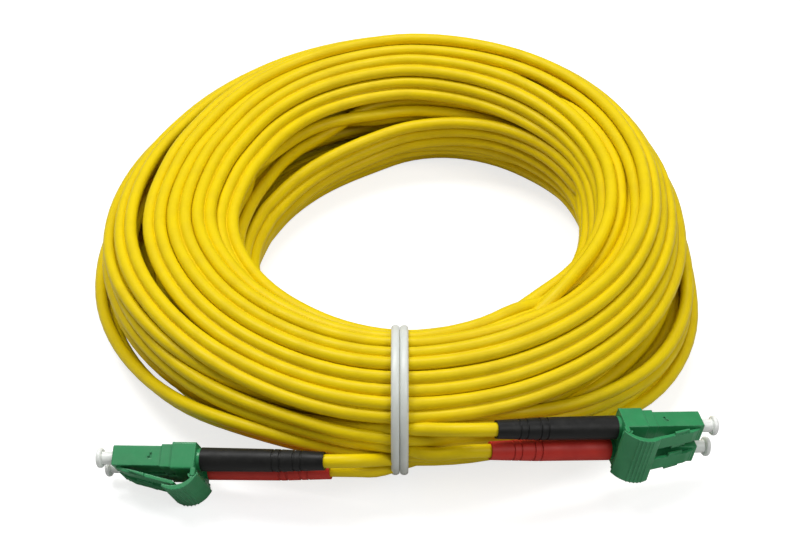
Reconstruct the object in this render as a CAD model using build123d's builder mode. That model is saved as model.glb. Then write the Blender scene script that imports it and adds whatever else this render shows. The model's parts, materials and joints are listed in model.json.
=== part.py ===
"""Duplex fibre patch cord: a zip cord wound into a tied coil, with a clipped pair of plugs at each end.

Millimetres, +Z up. The coil lies on the plane z = 0 with its middle over the origin, and both plug
pairs lie in front of it (-Y). A plug's own frame has its origin on the plug's axis at the front face,
x along the axis out of the nose, z out of the face that carries the latch, and y across.
"""

import os
from math import cos, pi, radians, sin, tan

from build123d import *

# The coil and its tie
CORD_DIAMETER = 3.0
COIL_RADIUS = 58.0  # from the middle of the coil to the middle of its bundle
BUNDLE_RADIUS = 16.5
SEAT_DEPTH = 0.5  # how far the lowest turns settle flat on the table
TIE_WIDTH = 1.85
TIE_THICKNESS = 1.3  # the tie draws the bundle in by as much
TIE_X = -1.5
TIE_GAP = 0.06
TIE_SIDE_GAP = 0.25
KNOT_LENGTH = 3.6
KNOT_RADIUS = 1.3

# The plug, from its front face to the back of its boot
PLUG_PITCH = 6.25
NOSE_SIDE = 4.5
NOSE_LENGTH = 11.2
HOUSING_SIDE = 5.1
HOUSING_LENGTH = 19.0
NOSE_EDGE = 0.25
NOSE_BORE_RADIUS = 1.6
NOSE_BORE_DEPTH = 5.4
FERRULE_STOP = 0.8  # the wall that the ferrule's flange stops against
FERRULE_PASSAGE_RADIUS = 0.75
SPRING_BORE_RADIUS = 1.8
KEY_MARK = 0.3  # depth of the small hook-shaped recess on each side face
KEY_MARK_X = -8.8
FERRULE_RADIUS = 0.6245
FERRULE_OUT = 2.2
FERRULE_END = -8.0
FERRULE_TIP_ANGLE = 8.0
FERRULE_TRAVEL = 0.9
FLANGE_RADIUS = 1.5
FLANGE_LENGTH = 2.0
FLANGE_TAIL_RADIUS = 0.95
FLANGE_TAIL_LENGTH = 2.6
FIBRE_TUBE_RADIUS = 0.45
SPRING_WIRE = 0.32
SPRING_TURNS = 5
SPRING_FREE_SPACE = 0.12
BACKBONE_FRONT = -12.8
BACKBONE_CLEARANCE = 0.04
BACKBONE_BORE_RADIUS = 0.7
COLLAR_LENGTH = 0.9
COLLAR_RADIUS = 2.4
BARREL_RADIUS = 1.3
BARREL_END = -26.0
CRIMP_WALL = 0.35
BOOT_LENGTH = 27.2
BOOT_BIG_RADIUS = 2.6
BOOT_SMALL_RADIUS = 2.0
BOOT_TAPER_SHARE = 0.62
BOOT_CLEARANCE = 0.06
BOOT_WAIST_STEP = 0.15  # how much slimmer the boot is where its taper steepens
BOOT_SLOTS = (0.59, 0.65, 0.76, 0.82)  # shares of the boot's length from its big end
BOOT_SLOT_DEPTH = 0.22
BOOT_SLOT_WIDTH = 0.45

# Dust cap
CAP_CLEARANCE = 0.06
CAP_TUBE_RADIUS = 1.42
CAP_TUBE_LENGTH = 2.7
CAP_INSERTION = 1.6
CAP_KNOB_RADIUS = 2.2
CAP_KNOB_LENGTH = 1.15
CAP_END_GAP = 0.25

# Latch and the duplex clip with its trigger
LATCH_WIDTH = 3.0
LATCH_LUG_WIDTH = 4.4
LATCH_KNUCKLE_RADIUS = 0.5
LATCH_HINGE_X = -1.5
HINGE_CLEARANCE = 0.05
LATCH_TIP_X = -14.2
LATCH_TIP_Z = 5.3
LATCH_THICKNESS = 0.8
LATCH_TRAVEL = 4.7  # degrees
CLIP_FRONT = -13.7
CLIP_WALL = 0.4
CLIP_CLEARANCE = 0.05
CLIP_CORNER_RADIUS = 0.36
TRIGGER_THICKNESS = 1.1
TRIGGER_HINGE_X = -18.9
TRIGGER_PIN_RADIUS = 0.5
TRIGGER_EYE_WALL = 0.45
TRIGGER_CLEARANCE = 0.15
EAR_WIDTH = 0.9
TRIGGER_LIFT = 4.6  # the trigger's highest point over the clip
TRIGGER_LIP_X = -12.3
TRIGGER_GAP = 0.3  # between the trigger's lip and the latch tips
TRIGGER_TRAVEL = 9.0  # degrees
TRIGGER_RIB = 0.16
TRIGGER_RIBS = 5

# Where each pair of plugs lies: its front face's middle, and how it is turned
RIGHT_PAIR_INSIDE = 10.1  # how far it lies inside the coil's front edge
LEFT_PAIR_INSIDE = 6.35
RIGHT_PAIR_AT = (63.4, RIGHT_PAIR_INSIDE - COIL_RADIUS - BUNDLE_RADIUS, 11.6)
RIGHT_TURN = dict(side=1, yaw=12.8, dip=11.1, roll=0.0)
LEFT_PAIR_AT = (-63.0, LEFT_PAIR_INSIDE - COIL_RADIUS - BUNDLE_RADIUS, 7.2)
LEFT_TURN = dict(side=-1, yaw=9.0, dip=8.0, roll=27.0)
LEG_IN_BOOT = 3.0  # the leg meets the stripped end this far inside the boot
LEG_RUNS_ON = {"right": 4.0, "left": 2.0}  # straight out of the boot before the leg bends to the coil

# Each leg's way from the coil beside the tie towards its boot: where it comes out, and its middle
LEG_ROUTES = {
    "right_black": ((6.0, -73.1, 22.3), (10.6, -75.0, 24.1)),
    "right_red": ((6.0, -74.2, 15.6), (9.9, -75.5, 17.8)),
    "left_black": ((-6.8, -73.8, 13.7), (-11.0, -76.4, 16.2)),
    "left_red": ((-6.2, -72.3, 8.8), (-10.2, -74.0, 10.8)),
}


def pair_frame(at, side, yaw, dip, roll):
    """The frame midway between a pair's plugs: yaw turns the nose back, dip lowers it,
    roll tips the latch down.
    """
    a, b, c = radians(yaw), radians(dip), radians(roll)
    nose = Vector(side * cos(b) * cos(a), cos(b) * sin(a), -sin(b))
    stack = Vector(0, -sin(c), cos(c))
    latch = nose.cross(stack) * side
    return Plane(origin=at, x_dir=nose, z_dir=latch.normalized())


def shifted(frame, x=0.0, y=0.0, z=0.0):
    """The same frame with its origin at a point given in it."""
    return Plane(frame.from_local_coords((x, y, z)), x_dir=frame.x_dir, z_dir=frame.z_dir)


def across(frame, x):
    """A plane square to the plug's axis at x: its own x runs along the frame's y, its y along z."""
    return Plane(frame.from_local_coords((x, 0, 0)), x_dir=frame.y_dir, z_dir=frame.x_dir)


def lengthwise(frame, y=0.0):
    """A plane along the plug's axis at y: its own x runs along the frame's x, its y along z."""
    return Plane(frame.from_local_coords((0, y, 0)), x_dir=frame.x_dir, z_dir=-frame.y_dir)


def axis_of(frame):
    """The plug's axis as a line."""
    return Axis(frame.origin, frame.x_dir)


def save(piece, name):
    """Labels a finished sub-part and writes it."""
    piece.part.label = name
    export_step(piece.part, f"parts/{name}.step")


def round_stack(frame, *steps):
    """Cylinders on one axis, added or cut in turn: (from x, to x, radius, mode)."""
    for start, end, radius, mode in steps:
        with BuildSketch(across(frame, min(start, end))) as disc:
            Circle(radius)
        extrude(disc.sketch, amount=abs(end - start), mode=mode)


# Values that several pieces share
BODY_END = -HOUSING_LENGTH
COLLAR_END = BODY_END - COLLAR_LENGTH
BOOT_END = COLLAR_END - BOOT_LENGTH
STRIPPED_FROM = BARREL_END - 0.5  # the jacket ends just behind the crimped barrel
FLANGE_FRONT = -NOSE_BORE_DEPTH - FERRULE_STOP
FLANGE_BACK = FLANGE_FRONT - FLANGE_LENGTH
CRIMP_RADIUS = BARREL_RADIUS + CRIMP_WALL
CORD_RADIUS = CORD_DIAMETER / 2
LATCH_HINGE_Z = NOSE_SIDE / 2 + 0.1
CLIP_TOP = HOUSING_SIDE / 2 + CLIP_CLEARANCE + CLIP_WALL
TRIGGER_EYE_RADIUS = TRIGGER_PIN_RADIUS + HINGE_CLEARANCE + TRIGGER_EYE_WALL
TRIGGER_HINGE_Z = CLIP_TOP + TRIGGER_EYE_RADIUS + TRIGGER_CLEARANCE
CLIP_HALF_WIDTH = PLUG_PITCH / 2 + HOUSING_SIDE / 2 + CLIP_CLEARANCE + CLIP_WALL
EARS_Y = (EAR_WIDTH / 2 - CLIP_HALF_WIDTH, 0.0, CLIP_HALF_WIDTH - EAR_WIDTH / 2)
TRIGGER_LIP_Z = LATCH_TIP_Z + LATCH_THICKNESS + TRIGGER_GAP
TIE_LOOP_RADIUS = BUNDLE_RADIUS - TIE_THICKNESS / 2
TIE_CENTRE_Z = BUNDLE_RADIUS
TIE_BAND = 2 * TIE_WIDTH + TIE_GAP


def make_housing(plug, name):
    """The square front body: a slimmer nose, a round way through it and the latch's seat."""
    with BuildPart() as housing:
        with BuildSketch(across(plug, BODY_END)):
            Rectangle(HOUSING_SIDE, HOUSING_SIDE)
        extrude(amount=HOUSING_LENGTH - NOSE_LENGTH)
        with BuildSketch(across(plug, -NOSE_LENGTH)):
            Rectangle(NOSE_SIDE, NOSE_SIDE)
        extrude(amount=NOSE_LENGTH)
        chamfer(housing.faces().sort_by(axis_of(plug))[-1].edges(), NOSE_EDGE)
        round_stack(
            plug,
            (0, -NOSE_BORE_DEPTH, NOSE_BORE_RADIUS, Mode.SUBTRACT),
            (-NOSE_BORE_DEPTH, FLANGE_FRONT, FERRULE_PASSAGE_RADIUS, Mode.SUBTRACT),
            (FLANGE_FRONT, BODY_END, SPRING_BORE_RADIUS, Mode.SUBTRACT),
        )
        seat_side = lengthwise(plug, -LATCH_WIDTH / 2 - HINGE_CLEARANCE)
        knuckle_seat = shifted(seat_side, LATCH_HINGE_X, LATCH_HINGE_Z)
        with BuildSketch(knuckle_seat):
            Circle(LATCH_KNUCKLE_RADIUS + HINGE_CLEARANCE)
        extrude(amount=-(LATCH_WIDTH + 2 * HINGE_CLEARANCE), mode=Mode.SUBTRACT)
        for side in (-1, 1):
            face = lengthwise(plug, side * NOSE_SIDE / 2)
            with BuildSketch(shifted(face, KEY_MARK_X, 0)):
                Rectangle(0.5, 1.3)
                with Locations((0.45, 0.4)):
                    Rectangle(0.6, 0.5)
            extrude(amount=side * KEY_MARK, mode=Mode.SUBTRACT)
    save(housing, name)


def make_latch(plug, name):
    """The springy lever: a knuckle at the nose, two catching lugs and a tip under the trigger."""
    slope = (LATCH_TIP_Z - LATCH_HINGE_Z) / (LATCH_HINGE_X - LATCH_TIP_X)
    lug_front = LATCH_HINGE_X - 2.6
    lug_back = LATCH_HINGE_X - 6.2
    with BuildPart() as latch:
        with BuildSketch(lengthwise(plug, -LATCH_WIDTH / 2)):
            with Locations((LATCH_HINGE_X, LATCH_HINGE_Z)):
                Circle(LATCH_KNUCKLE_RADIUS)
            with BuildLine():
                Polyline(
                    (LATCH_HINGE_X + 0.3, LATCH_HINGE_Z + 0.3),
                    (LATCH_HINGE_X - 1.4, LATCH_HINGE_Z + 1.4 * slope + LATCH_THICKNESS),
                    (LATCH_TIP_X + 1.2, LATCH_TIP_Z - 1.2 * slope + LATCH_THICKNESS),
                    (LATCH_TIP_X, LATCH_TIP_Z + LATCH_THICKNESS),
                    (LATCH_TIP_X - 0.5, LATCH_TIP_Z + LATCH_THICKNESS / 2),
                    (LATCH_TIP_X, LATCH_TIP_Z),
                    (LATCH_HINGE_X - 0.3, LATCH_HINGE_Z + 0.05),
                    close=True,
                )
            make_face()
        extrude(amount=-LATCH_WIDTH)
        with BuildSketch(lengthwise(plug, -LATCH_LUG_WIDTH / 2)):
            with BuildLine():
                Polyline(
                    (lug_front, LATCH_HINGE_Z + (LATCH_HINGE_X - lug_front) * slope + 0.1),
                    (lug_front, LATCH_HINGE_Z + (LATCH_HINGE_X - lug_front) * slope + 0.5),
                    (lug_back, LATCH_HINGE_Z + (LATCH_HINGE_X - lug_back) * slope + 0.75),
                    (lug_back, LATCH_HINGE_Z + (LATCH_HINGE_X - lug_back) * slope + 0.1),
                    close=True,
                )
            make_face()
        extrude(amount=-LATCH_LUG_WIDTH)
    save(latch, name)


def make_ferrule(plug, name):
    """The ceramic cylinder that holds the fibre, with its end polished at an angle."""
    with BuildPart() as ferrule:
        round_stack(plug, (FERRULE_END, FERRULE_OUT, FERRULE_RADIUS, Mode.ADD))
        reach = 2 * FERRULE_RADIUS
        drop = reach * tan(radians(FERRULE_TIP_ANGLE))
        with BuildSketch(lengthwise(plug, -reach)):
            with BuildLine():
                Polyline(
                    (FERRULE_OUT + drop / 2, -reach),
                    (FERRULE_OUT - drop / 2, reach),
                    (FERRULE_OUT + reach, reach),
                    (FERRULE_OUT + reach, -reach),
                    close=True,
                )
            make_face()
        extrude(amount=-2 * reach, mode=Mode.SUBTRACT)
    save(ferrule, name)


def make_ferrule_holder(plug, name):
    """The metal flange behind the ferrule, pushed forward by the spring."""
    with BuildPart() as holder:
        round_stack(
            plug,
            (FLANGE_FRONT, FLANGE_BACK, FLANGE_RADIUS, Mode.ADD),
            (FLANGE_BACK, FLANGE_BACK - FLANGE_TAIL_LENGTH, FLANGE_TAIL_RADIUS, Mode.ADD),
            (FLANGE_FRONT, FERRULE_END, FERRULE_RADIUS, Mode.SUBTRACT),
            (FERRULE_END, FLANGE_BACK - FLANGE_TAIL_LENGTH, FIBRE_TUBE_RADIUS + 0.05, Mode.SUBTRACT),
        )
    save(holder, name)


def make_spring(plug, name):
    """The coil spring between the ferrule's flange and the backbone."""
    radius = FLANGE_TAIL_RADIUS + SPRING_FREE_SPACE + SPRING_WIRE / 2
    start = BACKBONE_FRONT + SPRING_WIRE / 2 + 0.02
    end = FLANGE_BACK - SPRING_WIRE / 2 - 0.02
    height = end - start
    with BuildPart() as spring:
        with BuildLine():
            wire = Helix(
                pitch=height / SPRING_TURNS,
                height=height,
                radius=radius,
                center=plug.from_local_coords((start, 0, 0)),
                direction=plug.x_dir,
            )
        with BuildSketch(Plane(wire @ 0, z_dir=wire % 0)):
            Circle(SPRING_WIRE / 2)
        sweep(path=wire, is_frenet=True)
    save(spring, name)


def make_backbone(plug, name):
    """The rear body: a sleeve inside the housing, a collar behind it and the barrel that is crimped on."""
    with BuildPart() as backbone:
        round_stack(
            plug,
            (BACKBONE_FRONT, BODY_END, SPRING_BORE_RADIUS - BACKBONE_CLEARANCE, Mode.ADD),
            (BODY_END, COLLAR_END, COLLAR_RADIUS, Mode.ADD),
            (COLLAR_END, BARREL_END, BARREL_RADIUS, Mode.ADD),
            (BACKBONE_FRONT, BARREL_END, BACKBONE_BORE_RADIUS, Mode.SUBTRACT),
        )
    save(backbone, name)


def make_crimp_sleeve(plug, name):
    """The metal ring crimped over the barrel and the cord's yarns."""
    with BuildPart() as sleeve:
        round_stack(
            plug,
            (COLLAR_END, BARREL_END, CRIMP_RADIUS, Mode.ADD),
            (COLLAR_END, BARREL_END, BARREL_RADIUS, Mode.SUBTRACT),
        )
    save(sleeve, name)


def make_stripped_end(plug, name):
    """The cord's end inside the boot: full jacket, then the buffered fibre alone up to the ferrule's tail."""
    front = FLANGE_BACK - FLANGE_TAIL_LENGTH - FERRULE_TRAVEL - 0.3
    with BuildPart() as stripped:
        round_stack(
            plug,
            (front, STRIPPED_FROM, FIBRE_TUBE_RADIUS, Mode.ADD),
            (STRIPPED_FROM, BOOT_END + LEG_IN_BOOT, CORD_RADIUS, Mode.ADD),
        )
    save(stripped, name)


def make_boot(plug, name):
    """The soft tapered sleeve behind the plug, with shallow bending slots near its thin end."""
    waist = COLLAR_END - BOOT_TAPER_SHARE * BOOT_LENGTH
    waist_radius = BOOT_BIG_RADIUS - BOOT_WAIST_STEP
    with BuildPart() as boot:
        with BuildSketch(lengthwise(plug)):
            with BuildLine():
                Polyline(
                    (COLLAR_END, 0),
                    (COLLAR_END, BOOT_BIG_RADIUS),
                    (waist, waist_radius),
                    (BOOT_END, BOOT_SMALL_RADIUS),
                    (BOOT_END, 0),
                    close=True,
                )
            make_face()
            for share in BOOT_SLOTS:
                with Locations((COLLAR_END - share * BOOT_LENGTH, BOOT_BIG_RADIUS)):
                    taper = max(0.0, share - BOOT_TAPER_SHARE) / (1 - BOOT_TAPER_SHARE)
                    depth = BOOT_SLOT_DEPTH + BOOT_BIG_RADIUS - waist_radius
                    depth += taper * (waist_radius - BOOT_SMALL_RADIUS)
                    Rectangle(BOOT_SLOT_WIDTH, 2 * depth, mode=Mode.SUBTRACT)
        revolve(axis=axis_of(plug))
        round_stack(
            plug,
            (COLLAR_END, STRIPPED_FROM, CRIMP_RADIUS + BOOT_CLEARANCE, Mode.SUBTRACT),
            (STRIPPED_FROM, BOOT_END, CORD_RADIUS + BOOT_CLEARANCE, Mode.SUBTRACT),
        )
    save(boot, name)


def make_dust_cap(plug, name):
    """The clear cap over the ferrule: a tube in the nose's bore and a round knob to pull it by."""
    with BuildPart() as cap:
        round_stack(
            plug,
            (-CAP_INSERTION, CAP_TUBE_LENGTH, CAP_TUBE_RADIUS, Mode.ADD),
            (CAP_TUBE_LENGTH, CAP_TUBE_LENGTH + CAP_KNOB_LENGTH, CAP_KNOB_RADIUS, Mode.ADD),
        )
        rims = cap.edges().filter_by(GeomType.CIRCLE).filter_by(lambda e: e.radius > CAP_TUBE_RADIUS + 0.1)
        fillet(rims, CAP_KNOB_LENGTH * 0.4)
        round_stack(
            plug,
            (-CAP_INSERTION, FERRULE_OUT + CAP_END_GAP, FERRULE_RADIUS + CAP_CLEARANCE, Mode.SUBTRACT),
        )
    save(cap, name)


def make_clip(pair, name):
    """The sleeve that holds both housings side by side, with ears for the trigger."""
    pocket = HOUSING_SIDE + 2 * CLIP_CLEARANCE
    ear_root = CLIP_TOP - CLIP_WALL / 2
    with BuildPart() as clip:
        with BuildSketch(across(pair, BODY_END)):
            Rectangle(2 * CLIP_HALF_WIDTH, 2 * CLIP_TOP)
            with Locations((-PLUG_PITCH / 2, 0), (PLUG_PITCH / 2, 0)):
                Rectangle(pocket, pocket, mode=Mode.SUBTRACT)
        extrude(amount=CLIP_FRONT - BODY_END)
        long_edges = clip.edges().filter_by(axis_of(pair))
        outer_corners = long_edges.group_by(lambda e: rim_distance(pair, e))[-1]
        fillet(outer_corners, CLIP_CORNER_RADIUS)
        for ear_y in EARS_Y:
            with BuildSketch(lengthwise(pair, ear_y - EAR_WIDTH / 2)):
                with Locations((TRIGGER_HINGE_X, TRIGGER_HINGE_Z)):
                    Circle(TRIGGER_PIN_RADIUS)
                with Locations((TRIGGER_HINGE_X, ear_root)):
                    Rectangle(
                        2 * TRIGGER_PIN_RADIUS,
                        TRIGGER_HINGE_Z - ear_root,
                        align=(Align.CENTER, Align.MIN),
                    )
            extrude(amount=-EAR_WIDTH)
        with BuildSketch(lengthwise(pair, -CLIP_HALF_WIDTH)):
            with Locations((TRIGGER_HINGE_X, TRIGGER_HINGE_Z)):
                Circle(TRIGGER_PIN_RADIUS)
        extrude(amount=-2 * CLIP_HALF_WIDTH)
    save(clip, name)


def rim_distance(frame, edge):
    """How far an edge's middle lies from the frame's x axis, to a hundredth."""
    local = frame.to_local_coords(edge @ 0.5)
    return round((local.Y**2 + local.Z**2) ** 0.5, 2)


def make_trigger(pair, name):
    """The wide bowed lever that presses both latches at once, ribbed where a finger lands."""
    top = CLIP_TOP + TRIGGER_LIFT
    crown_x = (TRIGGER_HINGE_X + TRIGGER_LIP_X) / 2 - 0.6
    with BuildPart() as trigger:
        with BuildSketch(lengthwise(pair, -CLIP_HALF_WIDTH)):
            with BuildLine():
                outer = ThreePointArc(
                    (TRIGGER_HINGE_X - TRIGGER_EYE_RADIUS, TRIGGER_HINGE_Z),
                    (crown_x, top),
                    (TRIGGER_LIP_X, TRIGGER_LIP_Z + TRIGGER_THICKNESS * 0.6),
                )
                lip = Line(outer @ 1, (TRIGGER_LIP_X, TRIGGER_LIP_Z))
                inner = ThreePointArc(
                    lip @ 1,
                    (crown_x, top - TRIGGER_THICKNESS),
                    (TRIGGER_HINGE_X + 0.2, TRIGGER_HINGE_Z + TRIGGER_EYE_RADIUS * 0.8),
                )
                Line(inner @ 1, outer @ 0)
            make_face()
            with Locations((TRIGGER_HINGE_X, TRIGGER_HINGE_Z)):
                Circle(TRIGGER_EYE_RADIUS)
                Circle(TRIGGER_PIN_RADIUS + HINGE_CLEARANCE, mode=Mode.SUBTRACT)
        extrude(amount=-2 * CLIP_HALF_WIDTH)
        notch = TRIGGER_EYE_RADIUS + TRIGGER_CLEARANCE
        for ear_y in EARS_Y:
            with BuildSketch(lengthwise(pair, ear_y - EAR_WIDTH / 2 - TRIGGER_CLEARANCE)):
                with Locations((TRIGGER_HINGE_X, TRIGGER_HINGE_Z)):
                    Circle(TRIGGER_PIN_RADIUS + TRIGGER_CLEARANCE)
                    Rectangle(2 * notch, notch, align=(Align.CENTER, Align.MAX))
            extrude(amount=-(EAR_WIDTH + 2 * TRIGGER_CLEARANCE), mode=Mode.SUBTRACT)
        for number in range(TRIGGER_RIBS):
            rib_at = outer @ (0.45 + 0.09 * number)
            with BuildSketch(lengthwise(pair, -CLIP_HALF_WIDTH)):
                with Locations(rib_at):
                    Circle(TRIGGER_RIB)
            extrude(amount=-2 * CLIP_HALF_WIDTH)
    save(trigger, name)


def make_leg(points, name):
    """A stretch of cord from the coil to the back of a plug's jacket."""
    corners = [Vector(*p) for p in points]
    radii = []
    for before, corner, after in zip(corners, corners[1:], corners[2:]):
        turn = (corner - before).get_angle(after - corner)
        shorter = min((corner - before).length, (after - corner).length)
        radii.append(0.45 * shorter / tan(radians(turn) / 2))
    with BuildPart() as leg:
        with BuildLine():
            path = FilletPolyline(*corners, radius=radii)
        with BuildSketch(Plane(path @ 0, z_dir=path % 0)):
            Circle(CORD_RADIUS)
        sweep(path=path)
    expected = pi * CORD_RADIUS**2 * path.length
    print(name, "radii", [round(r, 1) for r in radii], "length", round(path.length, 1))
    print(name, "volume", round(leg.part.volume, 1), "section times length", round(expected, 1))
    save(leg, name)


def make_coil(name):
    """The outer shape of the wound bundle: round, flat where it lies, and drawn in under the tie."""
    with BuildPart() as coil:
        with BuildSketch(Plane.XZ):
            with Locations((COIL_RADIUS, BUNDLE_RADIUS - SEAT_DEPTH)):
                Circle(BUNDLE_RADIUS)
            with Locations((COIL_RADIUS, -BUNDLE_RADIUS)):
                Rectangle(2 * BUNDLE_RADIUS, 2 * BUNDLE_RADIUS, mode=Mode.SUBTRACT)
        revolve(axis=Axis.Z)
        band = TIE_BAND + 2 * TIE_SIDE_GAP
        with BuildSketch(Plane.YZ.offset(TIE_X - band / 2)):
            with Locations((-COIL_RADIUS, TIE_CENTRE_Z)):
                Circle(2 * BUNDLE_RADIUS)
                Circle(BUNDLE_RADIUS - TIE_THICKNESS, mode=Mode.SUBTRACT)
        extrude(amount=band, mode=Mode.SUBTRACT)
    save(coil, name)


def make_tie_loop(side, name):
    """One of the tie's two turns round the bundle."""
    x = TIE_X + side * (TIE_WIDTH + TIE_GAP) / 2
    with BuildPart() as loop:
        with BuildSketch(Plane.XY.offset(TIE_CENTRE_Z)):
            with Locations((x, TIE_LOOP_RADIUS - COIL_RADIUS)):
                Ellipse(TIE_WIDTH / 2, TIE_THICKNESS / 2)
        revolve(axis=Axis((x, -COIL_RADIUS, TIE_CENTRE_Z), (1, 0, 0)))
    save(loop, name)


def make_tie_knot(name):
    """The knot that closes the tie, inside the coil, where it doesn't show from the front."""
    back = BUNDLE_RADIUS - COIL_RADIUS + 0.02
    with BuildPart() as knot:
        with BuildSketch(Plane.XZ.offset(-back)):
            with Locations((TIE_X, TIE_CENTRE_Z)):
                SlotOverall(KNOT_LENGTH, 2 * KNOT_RADIUS)
        extrude(amount=-2 * KNOT_RADIUS)
        fillet(knot.faces().sort_by(Axis.Y)[-1].edges(), KNOT_RADIUS * 0.6)
    save(knot, name)


PLUG_PIECES = (
    (make_housing, "housing"),
    (make_latch, "latch"),
    (make_ferrule, "ferrule"),
    (make_ferrule_holder, "ferrule_holder"),
    (make_spring, "spring"),
    (make_backbone, "backbone"),
    (make_crimp_sleeve, "crimp_sleeve"),
    (make_stripped_end, "stripped_end"),
    (make_boot, "boot"),
    (make_dust_cap, "dust_cap"),
)
PAIRS = {
    "right": pair_frame(RIGHT_PAIR_AT, **RIGHT_TURN),
    "left": pair_frame(LEFT_PAIR_AT, **LEFT_TURN),
}
SIDES = {"right": RIGHT_TURN["side"], "left": LEFT_TURN["side"]}
BOOT_COLOURS = {"black": 1, "red": -1}  # the black-booted plug is the upper one of each pair
PLUGS = {
    f"{end}_{colour}": shifted(pair, y=SIDES[end] * up * PLUG_PITCH / 2)
    for end, pair in PAIRS.items()
    for colour, up in BOOT_COLOURS.items()
}

os.makedirs("parts", exist_ok=True)
make_coil("coil")
for number, side in enumerate((-1, 1), start=1):
    make_tie_loop(side, f"tie_loop_{number}")
make_tie_knot("tie_knot")
for end, pair in PAIRS.items():
    make_clip(pair, f"{end}_clip")
    make_trigger(pair, f"{end}_trigger")
for plug_name, plug in PLUGS.items():
    for make_piece, piece_name in PLUG_PIECES:
        make_piece(plug, f"{plug_name}_{piece_name}")
    straight = LEG_RUNS_ON[plug_name.split("_")[0]]
    into_boot = (BOOT_END - straight, BOOT_END + LEG_IN_BOOT)
    route = [*LEG_ROUTES[plug_name], *(plug.from_local_coords((x, 0, 0)) for x in into_boot)]
    make_leg(route, f"{plug_name}_leg")
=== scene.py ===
"""Duplex fibre patch cord: the wound zip cord with its tie, and the clipped pair of plugs at each end.

Metres, +Z up. The coil lies on z = 0 about the origin and both pairs of plugs lie in front of it (-Y).
Angles round the coil are in degrees from the tie, towards +X.
"""

import json
from math import cos, pi, radians, sin

import bpy
import numpy as np
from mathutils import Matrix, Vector


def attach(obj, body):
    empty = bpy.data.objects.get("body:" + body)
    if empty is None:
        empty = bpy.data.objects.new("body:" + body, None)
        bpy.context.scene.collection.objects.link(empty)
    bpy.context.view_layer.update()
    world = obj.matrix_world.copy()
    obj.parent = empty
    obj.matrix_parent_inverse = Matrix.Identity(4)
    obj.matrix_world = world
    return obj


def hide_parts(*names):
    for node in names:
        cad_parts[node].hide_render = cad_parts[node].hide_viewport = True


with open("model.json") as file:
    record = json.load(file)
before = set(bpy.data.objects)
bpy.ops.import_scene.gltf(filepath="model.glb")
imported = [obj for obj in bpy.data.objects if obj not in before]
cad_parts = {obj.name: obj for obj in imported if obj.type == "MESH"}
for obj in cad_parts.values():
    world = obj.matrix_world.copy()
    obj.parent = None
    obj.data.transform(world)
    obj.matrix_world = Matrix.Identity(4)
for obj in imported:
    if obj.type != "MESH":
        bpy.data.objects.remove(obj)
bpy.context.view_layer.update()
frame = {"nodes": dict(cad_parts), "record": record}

# The wound cord
CORD_DIAMETER = 0.003
COIL_RADIUS = 0.058
TURNS = 38
STATIONS = 36  # cross-sections round the coil, the first one under the tie
STRAND_GAP = 0.985  # diameters between the middles of a pair's strands, which are fused together
WEB_RADIUS = 0.0006  # of the web that joins them
CURVE_STEPS = 3
STRAND_ROUNDNESS = 3
WEB_ROUNDNESS = 1
JACKET_CLEARANCE = 1.005  # in diameters, the distance below which strands push apart

# How the coil is settled
SEED = 5
WINDING_ROUNDS = 420
SETTLING_ROUNDS = 50  # after those, with the gaps let go and the cord less stiff
WINDING_STIFFNESS = 0.30
SETTLING_STIFFNESS = 0.15
WINDING_SWEEPS = 2
SETTLING_SWEEPS = 4
TINY = 1e-9
WAY_PULL = 0.3  # share of its distance that a loose turn is drawn back to its way in a round
WAY_START = 0.12  # hold at either end of a way, of 1
WAY_FADE = 30  # degrees in which the hold would grow from nothing to all
PUSH_SHARE = 0.38  # share of an overlap that two strands push each other back
LARGEST_PUSH = 0.0008
GAP_SHARE = 0.2
GAP_WIDTH = 0.0016
TIE_HOLD = 0.9  # under the tie the strands are drawn in more firmly than elsewhere
BUNDLE_HOLD = 0.25
GOLDEN_ANGLE = 2.39996
FIRST_HOME = (0.9, -0.25)
JUMP = 0.3  # chance added to the squared distance to a home
WANDER = 0.08  # how far turns stray from their homes as a rule, of the section's half width
TWIST = 0.2  # radians by which pairs are turned round their own line as a rule
TWIST_CHANGE = 0.15
EDGE_MARGIN = 0.0025  # the pairs' first places keep this far inside the bundle's section

# The bundle's section round the coil: angle, its middle's radius, half width, middle's height, half height
BUNDLE = (
    (0, 0.0580, 0.0152, 0.0165, 0.0152),
    (20, 0.0574, 0.0158, 0.0170, 0.0163),
    (45, 0.0562, 0.0160, 0.0176, 0.0174),
    (70, 0.0551, 0.0154, 0.0176, 0.0175),
    (90, 0.0544, 0.0124, 0.0174, 0.0173),
    (110, 0.0549, 0.0108, 0.0172, 0.0171),
    (125, 0.0558, 0.0110, 0.0170, 0.0169),
    (150, 0.0570, 0.0130, 0.0168, 0.0166),
    (180, 0.0578, 0.0162, 0.0165, 0.0163),
    (210, 0.0550, 0.0190, 0.0158, 0.0156),
    (240, 0.0516, 0.0204, 0.0150, 0.0148),
    (262, 0.0515, 0.0208, 0.0146, 0.0144),
    (280, 0.0532, 0.0194, 0.0150, 0.0148),
    (300, 0.0540, 0.0190, 0.0160, 0.0158),
    (330, 0.0560, 0.0174, 0.0168, 0.0166),
    (348, 0.0578, 0.0155, 0.0166, 0.0156),
)
# Gaps that run along the bundle: first angle, last angle, direction across it, offset, push
GAPS = (
    (115, 225, 60, 0.0030, 0.0018),
    (225, 310, 5, 0.0010, 0.0018),
    (65, 130, 0, -0.0045, 0.0010),
)
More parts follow.
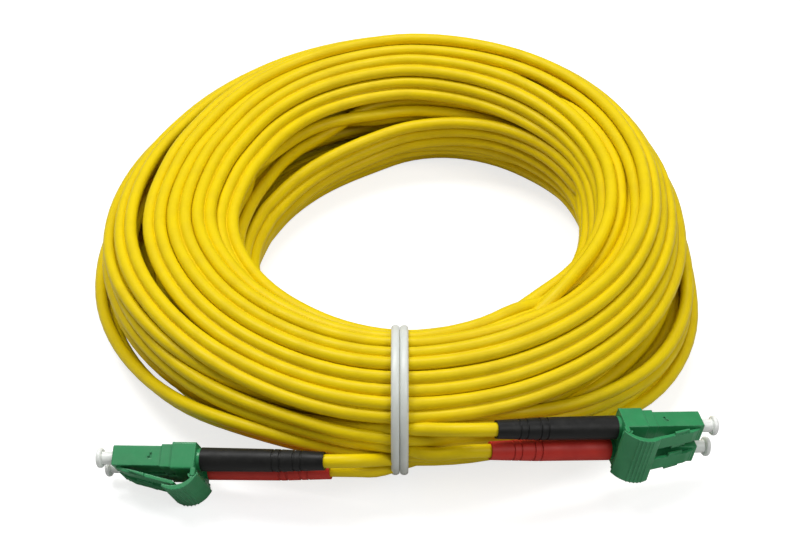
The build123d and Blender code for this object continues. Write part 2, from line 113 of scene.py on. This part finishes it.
# Turns that hang loose: turn, then angle, distance out from the coil's radius, height
LOOSE_TURNS = (
    (0, (198, 0.0075, 0.0085), (214, 0.0120, 0.0064), (230, 0.0154, 0.0045), (248, 0.0165, 0.0038),
     (262, 0.0162, 0.0036), (278, 0.0155, 0.0036),
     (296, 0.0144, 0.0050), (313, 0.0154, 0.0100), (323, 0.0173, 0.0140), (334, 0.0192, 0.0170),
     (341, 0.0192, 0.0180), (348, 0.0175, 0.0182)),
    # The outer side on the right
    (1, (18, 0.0130, 0.0105), (36, 0.0155, 0.0098), (52, 0.0158, 0.0084), (68, 0.0132, 0.0082),
     (96, 0.0085, 0.0095)),
    (2, (22, 0.0110, 0.0055), (40, 0.0145, 0.0044), (56, 0.0142, 0.0040), (74, 0.0112, 0.0045),
     (96, 0.0080, 0.0055)),
    (3, (24, 0.0085, 0.0070), (42, 0.0112, 0.0052), (58, 0.0112, 0.0045), (76, 0.0084, 0.0045),
     (96, 0.0060, 0.0050)),
    (4, (20, 0.0130, 0.0150), (40, 0.0152, 0.0142), (54, 0.0152, 0.0130), (70, 0.0124, 0.0130),
     (96, 0.0090, 0.0140)),
    (15, (24, 0.0070, 0.0145), (44, 0.0100, 0.0128), (60, 0.0096, 0.0120), (80, 0.0065, 0.0125),
     (96, 0.0040, 0.0125)),
    (16, (24, 0.0062, 0.0080), (44, 0.0092, 0.0086), (60, 0.0092, 0.0085), (80, 0.0062, 0.0080),
     (96, 0.0040, 0.0070)),
    # The outer side on the left
    (37, (228, 0.0105, 0.0098), (255, 0.0128, 0.0092), (280, 0.0130, 0.0105), (300, 0.0124, 0.0122),
     (320, 0.0122, 0.0138)),
    (2, (225, 0.0098, 0.0152), (255, 0.0125, 0.0146), (280, 0.0131, 0.0160), (300, 0.0136, 0.0180),
     (320, 0.0138, 0.0192)),
    (3, (225, 0.0085, 0.0198), (255, 0.0108, 0.0192), (280, 0.0118, 0.0208), (300, 0.0122, 0.0224),
     (320, 0.0122, 0.0234)),
    (36, (228, 0.0070, 0.0242), (258, 0.0084, 0.0236), (285, 0.0092, 0.0246), (315, 0.0100, 0.0258)),
    (16, (230, 0.0062, 0.0058), (258, 0.0092, 0.0055), (285, 0.0095, 0.0062), (308, 0.0085, 0.0068)),
    (1, (228, 0.0058, 0.0164), (258, 0.0082, 0.0158), (285, 0.0090, 0.0166), (310, 0.0088, 0.0166)),
    # The low bunch along the inner side on the left
    (10, (172, -0.0060, 0.0060), (192, -0.0082, 0.0050), (215, -0.0105, 0.0052), (245, -0.0122, 0.0060),
     (268, -0.0115, 0.0068), (290, -0.0095, 0.0080)),
    (21, (180, -0.0060, 0.0022), (205, -0.0098, 0.0020), (230, -0.0128, 0.0018), (262, -0.0138, 0.0018),
     (290, -0.0115, 0.0025)),
    (22, (160, -0.0075, 0.0040), (180, -0.0095, 0.0030), (200, -0.0138, 0.0022), (223, -0.0172, 0.0022),
     (243, -0.0184, 0.0022), (266, -0.0190, 0.0026), (288, -0.0168, 0.0042), (308, -0.0145, 0.0065)),
    (23, (162, -0.0100, 0.0065), (182, -0.0128, 0.0060), (205, -0.0172, 0.0054), (235, -0.0200, 0.0052),
     (262, -0.0200, 0.0052), (284, -0.0180, 0.0064), (306, -0.0160, 0.0090)),
    (24, (160, -0.0122, 0.0110), (180, -0.0145, 0.0100), (203, -0.0190, 0.0090), (231, -0.0214, 0.0084),
     (253, -0.0210, 0.0082), (280, -0.0190, 0.0088), (304, -0.0165, 0.0110)),
    (25, (172, -0.0100, 0.0085), (192, -0.0122, 0.0068), (212, -0.0150, 0.0070), (240, -0.0168, 0.0080),
     (262, -0.0168, 0.0095), (285, -0.0150, 0.0120)),
    (27, (162, -0.0135, 0.0150), (184, -0.0170, 0.0142), (205, -0.0208, 0.0130), (232, -0.0222, 0.0122),
     (255, -0.0214, 0.0116), (282, -0.0198, 0.0124), (305, -0.0172, 0.0145)),
)

# Where each strand passes under the tie at its two ends: out from the bundle's middle, height
FIRST_SEAT = ((0.0125, 0.0112), (0.0110, 0.0084))
LAST_SEAT = ((0.0130, 0.0206), (0.0135, 0.0147))

# The legs, from inside the boot to the coil and from the coil into the boot
LEFT_LEGS = (
    ((-0.02047, -0.07633, 0.01609), (-0.01558, -0.07711, 0.01679),
     (-0.0110, -0.0764, 0.0162), (-0.0068, -0.0738, 0.0137)),
    ((-0.01926, -0.07363, 0.01059), (-0.01437, -0.07441, 0.01128),
     (-0.0102, -0.0740, 0.0108), (-0.0062, -0.0723, 0.0088)),
)
RIGHT_LEGS = (
    ((0.0060, -0.0731, 0.0223), (0.0106, -0.0750, 0.0241),
     (0.01509, -0.07538, 0.02450), (0.02179, -0.07385, 0.02316)),
    ((0.0060, -0.0742, 0.0156), (0.0099, -0.0755, 0.0178),
     (0.01392, -0.07564, 0.01837), (0.02061, -0.07412, 0.01702)),
)


def wind_coil():
    """Settles the pairs of strands against each other at every station round the coil.

    Returns the centre points of both strands from the left plugs' end to the right plugs' end.
    """
    dice = np.random.default_rng(SEED)
    turns = TURNS + 1
    count = TURNS * STATIONS + 1
    step = np.arange(count)
    station = step % STATIONS
    turn = step // STATIONS
    degrees = 360.0 * np.arange(STATIONS) / STATIONS
    angle = np.radians(360.0 * step / STATIONS)
    keys = np.array(BUNDLE)
    section = [np.interp(degrees, keys[:, 0], keys[:, n], period=360) for n in range(1, 5)]
    radius, wide, height, tall = [values[station] for values in section]
    # Homes spread evenly over the section, taken in an order in which neighbours follow each other
    spread = np.arange(turns)
    share = np.sqrt((spread + 0.5) / turns)
    home = np.stack([share * np.cos(GOLDEN_ANGLE * spread), share * np.sin(GOLDEN_ANGLE * spread)], 1)
    # The first home is at the outer side and a little below the middle, and each next one is about the
    # nearest that is left
    left = list(range(turns))
    order = [int(np.argmin(np.hypot(home[:, 0] - FIRST_HOME[0], home[:, 1] - FIRST_HOME[1])))]
    left.remove(order[0])
    while left:
        reach = [np.sum((home[n] - home[order[-1]]) ** 2) + JUMP * dice.random() for n in left]
        order.append(left.pop(int(np.argmin(reach))))
    home = home[order]
    part = step / STATIONS - turn
    part = part * part * (3 - 2 * part)
    after = np.minimum(turn + 1, turns - 1)

    def drift(size):
        """A random amount for each turn, which changes smoothly from turn to turn."""
        amount = dice.normal(0, size, turns)
        return amount[turn] * (1 - part) + amount[after] * part

    place = home[turn] * (1 - part)[:, None] + home[after] * part[:, None]
    for axis in (0, 1):
        place[:, axis] += drift(WANDER) * np.cos(angle) + drift(WANDER) * np.sin(angle)
        place[:, axis] += drift(WANDER / 2) * np.cos(2 * angle)
    middle = np.stack(
        [place[:, 0] * (wide - EDGE_MARGIN), height + place[:, 1] * (tall - EDGE_MARGIN)], 1
    )
    lay = np.arctan2(place[:, 1], place[:, 0]) + pi / 2 + drift(TWIST) + drift(TWIST_CHANGE) * np.sin(angle)
    half = CORD_DIAMETER / 2 * np.stack([np.cos(lay), np.sin(lay)], 1)
    strands = np.stack([middle + half, middle - half])

    index = np.zeros((STATIONS, turns), int)
    used = np.zeros((STATIONS, turns), bool)
    index[station, turn] = step
    used[station, turn] = True
    both_used = np.concatenate([used, used], 1)
    far_away = 10.0 + np.arange(2 * turns)[None, :, None] * np.ones((1, 1, 2))
    pair = np.arange(turns)
    grip = np.zeros(count)  # how firmly a loose turn is held to its own way, fading at both ends
    target = middle.copy()
    for row, *stops in LOOSE_TURNS:
        stops = np.array(stops)
        here = (turn == row) & (degrees[station] >= stops[0, 0]) & (degrees[station] <= stops[-1, 0])
        to_end = np.minimum(degrees[station] - stops[0, 0], stops[-1, 0] - degrees[station])
        grip[here] = np.clip(WAY_START + to_end[here] / WAY_FADE, 0, 1)
        for axis in (0, 1):
            target[here, axis] = np.interp(degrees[station][here], stops[:, 0], stops[:, 1 + axis])
        target[here, 0] += COIL_RADIUS - radius[here]
    for rounds in range(WINDING_ROUNDS + SETTLING_ROUNDS):
        settling = rounds >= WINDING_ROUNDS
        # The cord is stiff along its length
        for _ in range(2):
            bend = strands[:, :-2] + strands[:, 2:] - 2 * strands[:, 1:-1]
            strands[:, 1:-1] += (SETTLING_STIFFNESS if settling else WINDING_STIFFNESS) * bend
        # The gaps and the loose turns
        if not settling:
            for first, last, direction, offset, push in GAPS:
                here = (degrees[station] >= first) & (degrees[station] <= last)
                fade = np.sin(pi * np.clip((degrees[station] - first) / (last - first), 0, 1))
                aim = np.array([cos(radians(direction)), sin(radians(direction))])
                for n in (0, 1):
                    side = (strands[n] - np.stack([0 * height, height], 1)) @ aim - offset
                    near = np.exp(-((side / GAP_WIDTH) ** 2))
                    amount = push * GAP_SHARE * fade * np.sign(side) * near * here
                    strands[n] += amount[:, None] * aim
        strands += (target - strands.mean(0)) * WAY_PULL * grip[:, None]
        # The two strands of a pair stay side by side
        apart = strands[0] - strands[1]
        length = np.linalg.norm(apart, axis=1, keepdims=True) + TINY
        mend = (length - STRAND_GAP * CORD_DIAMETER) / 2 * apart / length
        strands[0] -= mend
        strands[1] += mend
        for sweep in range(SETTLING_SWEEPS if settling else WINDING_SWEEPS):
            # Strands that lie in each other push apart, by turns at the stations and halfway to the next
            halfway = sweep % 2
            later = np.minimum(index + halfway, count - 1)
            points = np.concatenate([(strands[n][index] + strands[n][later]) / 2 for n in (0, 1)], 1)
            points = np.where(both_used[..., None], points, far_away)
            between = points[:, :, None, :] - points[:, None, :, :]
            distance = np.sqrt((between**2).sum(-1)) + TINY
            inside = np.clip(CORD_DIAMETER * JACKET_CLEARANCE - distance, 0, None)
            inside[:, np.arange(2 * turns), np.arange(2 * turns)] = 0
            inside[:, pair, pair + turns] = 0
            inside[:, pair + turns, pair] = 0
            shove = (between / distance[..., None] * inside[..., None]).sum(2) * PUSH_SHARE
            size = np.linalg.norm(shove, axis=-1, keepdims=True)
            shove *= np.minimum(1, LARGEST_PUSH / np.maximum(size, TINY))
            for n, columns in enumerate((slice(0, turns), slice(turns, 2 * turns))):
                strands[n][index[used]] += shove[:, columns][used]
                if halfway:
                    strands[n][later[used]] += shove[:, columns][used]
                # The tie, the bundle's own tightness and the table hold them in
                out = strands[n][:, 0]
                up = strands[n][:, 1] - height
                reach = np.sqrt(
                    (out / (wide - CORD_DIAMETER / 2)) ** 2 + (up / (tall - CORD_DIAMETER / 2)) ** 2
                )
                hold = np.where(station == 0, TIE_HOLD, BUNDLE_HOLD) * (1 - grip)
                scale = np.where(reach > 1, 1 - hold * (1 - 1 / np.maximum(reach, TINY)), 1)
                strands[n][:, 0] = out * scale
                strands[n][:, 1] = np.maximum(height + up * scale, CORD_DIAMETER / 2)
        for n in (0, 1):
            strands[n][0] = FIRST_SEAT[n]
            strands[n][-1] = LAST_SEAT[n]
    far = radius + strands[:, :, 0]
    return np.stack([far * np.sin(angle), -far * np.cos(angle), strands[:, :, 1]], 2)


def route_curve(name, points):
    """A smooth curve with the given points as its control points."""
    curve = bpy.data.curves.new(name, "CURVE")
    curve.dimensions = "3D"
    spline = curve.splines.new("NURBS")
    spline.points.add(len(points) - 1)
    spline.points.foreach_set("co", np.c_[points, np.ones(len(points))].ravel())
    spline.order_u = 3
    spline.use_endpoint_u = True
    spline.resolution_u = CURVE_STEPS
    return curve


def tube_on(name, points, radius, roundness):
    """A tube along the curve through the control points. Returns the piece and the line it follows."""
    curve = route_curve(name, points)
    carrier = bpy.data.objects.new(name + "_route", curve)
    bpy.context.scene.collection.objects.link(carrier)
    line = bpy.data.meshes.new_from_object(carrier)
    path = [tuple(v.co) for v in line.vertices]
    bpy.data.meshes.remove(line)
    curve.bevel_depth = radius
    curve.bevel_resolution = roundness
    curve.use_fill_caps = True
    mesh = bpy.data.meshes.new_from_object(carrier)
    mesh.name = name
    bpy.data.objects.remove(carrier)
    mesh.shade_smooth()
    piece = bpy.data.objects.new(name, mesh)
    bpy.context.scene.collection.objects.link(piece)
    return piece, path


def length_of(path):
    steps = np.diff(np.array(path), axis=0)
    return float(np.linalg.norm(steps, axis=1).sum())


# Finishes


def node_group(name, inputs, outputs):
    """An empty shader node group with named sockets: (name, kind, default) and (name, kind)."""
    group = bpy.data.node_groups.new(name, "ShaderNodeTree")
    for socket_name, kind, default in inputs:
        socket = group.interface.new_socket(socket_name, in_out="INPUT", socket_type=kind)
        socket.default_value = default
    for socket_name, kind in outputs:
        group.interface.new_socket(socket_name, in_out="OUTPUT", socket_type=kind)
    return group, group.nodes.new("NodeGroupInput"), group.nodes.new("NodeGroupOutput")


def noise(tree, vector, scale, detail, roughness=0.55):
    node = tree.nodes.new("ShaderNodeTexNoise")
    node.inputs["Detail"].default_value = detail
    node.inputs["Roughness"].default_value = roughness
    if isinstance(scale, bpy.types.NodeSocket):
        tree.links.new(scale, node.inputs["Scale"])
    else:
        node.inputs["Scale"].default_value = scale
    tree.links.new(vector, node.inputs["Vector"])
    return node.outputs["Fac"]


def object_place(tree):
    return tree.nodes.new("ShaderNodeTexCoord").outputs["Object"]


def remap(tree, value, low, high, new_low=0.0, new_high=1.0):
    node = tree.nodes.new("ShaderNodeMapRange")
    node.inputs["From Min"].default_value = low
    node.inputs["From Max"].default_value = high
    node.inputs["To Min"].default_value = new_low
    node.inputs["To Max"].default_value = new_high
    tree.links.new(value, node.inputs["Value"])
    return node.outputs["Result"]


def arithmetic(tree, kind, first, second):
    node = tree.nodes.new("ShaderNodeMath")
    node.operation = kind
    for socket, value in zip(node.inputs, (first, second)):
        if isinstance(value, bpy.types.NodeSocket):
            tree.links.new(value, socket)
        else:
            socket.default_value = value
    return node.outputs[0]


def blend_colour(tree, share, first, second):
    node = tree.nodes.new("ShaderNodeMix")
    node.data_type = "RGBA"
    for socket, value in zip((node.inputs[0], node.inputs[6], node.inputs[7]), (share, first, second)):
        if isinstance(value, bpy.types.NodeSocket):
            tree.links.new(value, socket)
        else:
            socket.default_value = value if socket.type == "VALUE" else (*value, 1.0)
    return node.outputs[2]


def fine_grain():
    """The skin of a plastic or rubber surface: a height and a mask of dull spots."""
    group, inlet, outlet = node_group(
        "fine_grain",
        [("Grain Scale", "NodeSocketFloat", 4000.0), ("Patch Scale", "NodeSocketFloat", 120.0)],
        [("Height", "NodeSocketFloat"), ("Dull Spots", "NodeSocketFloat")],
    )
    place = object_place(group)
    grain = noise(group, place, inlet.outputs["Grain Scale"], 2.0)
    patches = noise(group, place, inlet.outputs["Patch Scale"], 4.0)
    group.links.new(grain, outlet.inputs["Height"])
    group.links.new(remap(group, patches, 0.4, 0.7), outlet.inputs["Dull Spots"])
    return group


def rubbed_and_lit_edges():
    """Where a hard edge is rubbed and painted lighter, partly rubbing and partly a painted highlight, and
    the surface's normal with that edge rounded.
    """
    group, inlet, outlet = node_group(
        "rubbed_and_lit_edges",
        [("Radius", "NodeSocketFloat", 0.0002), ("Amount", "NodeSocketFloat", 1.0)],
        [("Mask", "NodeSocketFloat"), ("Normal", "NodeSocketVector")],
    )
    rounded = group.nodes.new("ShaderNodeBevel")
    rounded.samples = 6
    group.links.new(inlet.outputs["Radius"], rounded.inputs["Radius"])
    surface = group.nodes.new("ShaderNodeNewGeometry")
    facing = group.nodes.new("ShaderNodeVectorMath")
    facing.operation = "DOT_PRODUCT"
    group.links.new(rounded.outputs["Normal"], facing.inputs[0])
    group.links.new(surface.outputs["Normal"], facing.inputs[1])
    bent = remap(group, facing.outputs["Value"], 0.985, 0.80)
    broken = remap(group, noise(group, object_place(group), 1500.0, 4.0), 0.38, 0.62)
    # The edge mask paints edges lighter: partly rubbing, partly a painted highlight where a rounded edge
    # would catch the light.
    rubbed_and_lit = arithmetic(group, "MULTIPLY", bent, broken)
    rubbed_and_lit = arithmetic(group, "MULTIPLY", rubbed_and_lit, inlet.outputs["Amount"])
    group.links.new(rubbed_and_lit, outlet.inputs["Mask"])
    group.links.new(rounded.outputs["Normal"], outlet.inputs["Normal"])
    return group


def dust():
    """A thin film of dust that gathers on what faces up."""
    group, inlet, outlet = node_group(
        "dust",
        [("Amount", "NodeSocketFloat", 0.15), ("Scale", "NodeSocketFloat", 350.0)],
        [("Mask", "NodeSocketFloat")],
    )
    surface = group.nodes.new("ShaderNodeNewGeometry")
    parts = group.nodes.new("ShaderNodeSeparateXYZ")
    group.links.new(surface.outputs["Normal"], parts.inputs[0])
    upward = remap(group, parts.outputs["Z"], 0.1, 0.95)
    specks = remap(group, noise(group, object_place(group), inlet.outputs["Scale"], 5.0, 0.65), 0.48, 0.75)
    film = arithmetic(group, "MULTIPLY", upward, specks)
    film = arithmetic(group, "MULTIPLY", film, inlet.outputs["Amount"])
    group.links.new(film, outlet.inputs["Mask"])
    return group


GROUPS = {"fine_grain": fine_grain(), "rubbed_and_lit_edges": rubbed_and_lit_edges(), "dust": dust()}
DUST_COLOUR = (0.55, 0.54, 0.50)
GRAIN_DEPTH = 0.00004
GLOW_DEPTH = (0.002, 0.002, 0.002)  # how far light passes under a skin, for each colour


def effect(tree, name, **values):
    node = tree.nodes.new("ShaderNodeGroup")
    node.node_tree = GROUPS[name]
    for socket_name, value in values.items():
        node.inputs[socket_name.replace("_", " ")].default_value = value
    return node


def moulded(
    name, colour, second_colour, roughness, rubbed_and_lit_colour, grain, bump, rubbed_and_lit_share, dustiness,
    rounding=0.0002, specular=0.5, subsurface=0.0, transmission=0.0, coat=0.0,
):
    """A moulded plastic or rubber: two close shades, fine grain, rubbed edges painted lighter (partly a
    painted highlight) and a little dust.
    """
    material = bpy.data.materials.new(name)
    material.use_nodes = True
    tree = material.node_tree
    shader = tree.nodes["Principled BSDF"]
    shader.inputs["Specular IOR Level"].default_value = specular
    shader.inputs["Subsurface Weight"].default_value = subsurface
    shader.inputs["Subsurface Radius"].default_value = GLOW_DEPTH
    shader.inputs["Transmission Weight"].default_value = transmission
    shader.inputs["Coat Weight"].default_value = coat
    skin = effect(tree, "fine_grain", Grain_Scale=grain, Patch_Scale=180.0)
    edges = effect(tree, "rubbed_and_lit_edges", Radius=rounding, Amount=rubbed_and_lit_share)
    film = effect(tree, "dust", Amount=dustiness)
    shade = blend_colour(tree, skin.outputs["Dull Spots"], colour, second_colour)
    # Edges are painted in the lighter edge colour, partly as rubbing and partly as a painted highlight.
    shade = blend_colour(tree, edges.outputs["Mask"], shade, rubbed_and_lit_colour)
    shade = blend_colour(tree, film.outputs["Mask"], shade, DUST_COLOUR)
    tree.links.new(shade, shader.inputs["Base Color"])
    rough = remap(tree, skin.outputs["Dull Spots"], 0.0, 1.0, roughness - 0.05, roughness + 0.09)
    tree.links.new(rough, shader.inputs["Roughness"])
    relief = tree.nodes.new("ShaderNodeBump")
    relief.inputs["Strength"].default_value = bump
    relief.inputs["Distance"].default_value = GRAIN_DEPTH
    tree.links.new(skin.outputs["Height"], relief.inputs["Height"])
    tree.links.new(edges.outputs["Normal"], relief.inputs["Normal"])
    tree.links.new(relief.outputs["Normal"], shader.inputs["Normal"])
    return material


def bright_metal(name, colour, second_colour, roughness):
    """Plated or drawn metal with a faint, duller stain."""
    material = bpy.data.materials.new(name)
    material.use_nodes = True
    tree = material.node_tree
    shader = tree.nodes["Principled BSDF"]
    shader.inputs["Metallic"].default_value = 1.0
    skin = effect(tree, "fine_grain", Grain_Scale=6000.0, Patch_Scale=600.0)
    shade = blend_colour(tree, skin.outputs["Dull Spots"], colour, second_colour)
    tree.links.new(shade, shader.inputs["Base Color"])
    rough = remap(tree, skin.outputs["Dull Spots"], 0.0, 1.0, roughness, roughness + 0.12)
    tree.links.new(rough, shader.inputs["Roughness"])
    return material


FINISHES = {
    "yellow_jacket": moulded(
        "yellow_jacket", (0.78, 0.585, 0.0012), (0.72, 0.530, 0.0010), 0.44, (0.85, 0.65, 0.03),
        grain=2600.0, bump=0.08, rubbed_and_lit_share=0.0, dustiness=0.01, rounding=0.00005, specular=0.18,
    ),
    "white_tie": moulded(
        "white_tie", (0.70, 0.73, 0.69), (0.64, 0.67, 0.63), 0.38, (0.80, 0.81, 0.78),
        grain=2500.0, bump=0.2, rubbed_and_lit_share=0.1, dustiness=0.06, subsurface=0.15,
    ),
    # The green's light edge colour is partly rubbing and partly a painted highlight along the housings'
    # rounded edges.
    "green_plastic": moulded(
        "green_plastic", (0.030, 0.260, 0.095), (0.022, 0.215, 0.075), 0.33, (0.14, 0.46, 0.26),
        grain=3200.0, bump=0.15, rubbed_and_lit_share=0.55, dustiness=0.03, rounding=0.0003, specular=0.42,
    ),
    "black_boot": moulded(
        "black_boot", (0.009, 0.009, 0.0085), (0.013, 0.013, 0.012), 0.46, (0.035, 0.035, 0.034),
        grain=3000.0, bump=0.25, rubbed_and_lit_share=0.3, dustiness=0.02, specular=0.22,
    ),
    "red_boot": moulded(
        "red_boot", (0.56, 0.034, 0.022), (0.47, 0.027, 0.018), 0.46, (0.55, 0.08, 0.05),
        grain=3000.0, bump=0.25, rubbed_and_lit_share=0.3, dustiness=0.02, specular=0.24,
    ),
    "clear_cap": moulded(
        "clear_cap", (0.92, 0.95, 0.90), (0.88, 0.92, 0.87), 0.32, (0.95, 0.96, 0.94),
        grain=2500.0, bump=0.05, rubbed_and_lit_share=0.2, dustiness=0.0, subsurface=0.6, transmission=0.08,
    ),
    "white_ceramic": moulded(
        "white_ceramic", (0.86, 0.86, 0.83), (0.82, 0.82, 0.79), 0.12, (0.9, 0.9, 0.88),
        grain=5000.0, bump=0.02, rubbed_and_lit_share=0.0, dustiness=0.0, coat=0.3,
    ),
    "plated_brass": bright_metal("plated_brass", (0.72, 0.70, 0.64), (0.62, 0.58, 0.50), 0.22),
    "spring_steel": bright_metal("spring_steel", (0.62, 0.62, 0.62), (0.52, 0.52, 0.53), 0.25),
}


def finish_piece(piece, slot):
    piece.data.materials.clear()
    piece.data.materials.append(FINISHES[slot])


for part in frame["record"]["subparts"]:
    node = frame["nodes"][part["node"]]
    for holder in node.material_slots:
        holder.material = FINISHES[part["material_slot"]]

# The zip cord: two strands from plug to plug, and the web that joins them in the coil
strands = wind_coil()
routes = [np.concatenate([LEFT_LEGS[n], strands[n], RIGHT_LEGS[n]]) for n in (0, 1)]
web, web_line = tube_on("jacket_web", strands[:, 1:-1].mean(0), WEB_RADIUS, WEB_ROUNDNESS)
finish_piece(web, "yellow_jacket")
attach(web, "coil_and_plugs")
for n, colour in enumerate(("black", "red")):
    strand, line = tube_on(f"{colour}_strand", routes[n], CORD_DIAMETER / 2, STRAND_ROUNDNESS)
    finish_piece(strand, "yellow_jacket")
    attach(strand, "coil_and_plugs")
    if n == 0:
        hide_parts("coil", "left_black_leg", "right_black_leg")
    else:
        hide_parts("left_red_leg", "right_red_leg")
    print(strand.name, "length", round(length_of(line), 3), "triangles", len(strand.data.polygons) * 2)

# Table, light and camera
TABLE_SIDE = 6.0
TABLE_ROUGHNESS = 0.8
TABLE_GREY = 0.50
TABLE_GLOW = 0.75  # only to the camera, so that the table looks white and lights nothing
WORLD_STRENGTH = 0.22

bpy.ops.mesh.primitive_plane_add(size=TABLE_SIDE, location=(0, 0, 0))
table = bpy.context.object
table.name = "table"
table_finish = bpy.data.materials.new("pale_table")
table_finish.use_nodes = True
table_skin = table_finish.node_tree.nodes["Principled BSDF"]
table_skin.inputs["Base Color"].default_value = (TABLE_GREY, TABLE_GREY, TABLE_GREY, 1)
table_skin.inputs["Roughness"].default_value = TABLE_ROUGHNESS
table_skin.inputs["Emission Color"].default_value = (1, 1, 1, 1)
ray = table_finish.node_tree.nodes.new("ShaderNodeLightPath").outputs["Is Camera Ray"]
glow = arithmetic(table_finish.node_tree, "MULTIPLY", ray, TABLE_GLOW)
table_finish.node_tree.links.new(glow, table_skin.inputs["Emission Strength"])
table.data.materials.append(table_finish)

world = bpy.data.worlds.new("studio")
world.use_nodes = True
world.node_tree.nodes["Background"].inputs["Color"].default_value = (1.0, 1.0, 1.0, 1)
world.node_tree.nodes["Background"].inputs["Strength"].default_value = WORLD_STRENGTH
bpy.context.scene.world = world


def soft_light(name, place, size, watts):
    """A square lamp that faces the coil's middle."""
    lamp = bpy.data.lights.new(name, "AREA")
    lamp.shape = "SQUARE"
    lamp.size = size
    lamp.energy = watts
    holder = bpy.data.objects.new(name, lamp)
    holder.location = place
    holder.rotation_euler = (-Vector(place)).to_track_quat("-Z", "Y").to_euler()
    bpy.context.scene.collection.objects.link(holder)


soft_light("key", (-0.34, 0.14, 0.74), 0.30, 3.2)
soft_light("fill", (0.46, -0.36, 0.60), 0.4, 2.0)
soft_light("top", (0.04, 0.22, 0.82), 0.35, 3.2)

scene = bpy.context.scene
scene.view_settings.view_transform = "Standard"
# The camera looks down at the coil's middle and is then moved sideways and down in its own plane
LENS = 95.2
SENSOR_WIDTH = 36.0
ELEVATION = radians(40.5)
DISTANCE = 0.510
LOOKS_AT = Vector((0, 0, 0.0165))
MOVED_LEFT = 0.001447
MOVED_DOWN = 0.008319

lens = bpy.data.cameras.new("camera")
lens.lens = LENS
lens.sensor_width = SENSOR_WIDTH
camera = bpy.data.objects.new("camera", lens)
aim = Vector((0, cos(ELEVATION), -sin(ELEVATION)))
up = Vector((0, sin(ELEVATION), cos(ELEVATION)))
camera.location = LOOKS_AT - aim * DISTANCE - Vector((MOVED_LEFT, 0, 0)) - up * MOVED_DOWN
camera.rotation_euler = (radians(90) - ELEVATION, 0, 0)
scene.collection.objects.link(camera)
scene.camera = camera
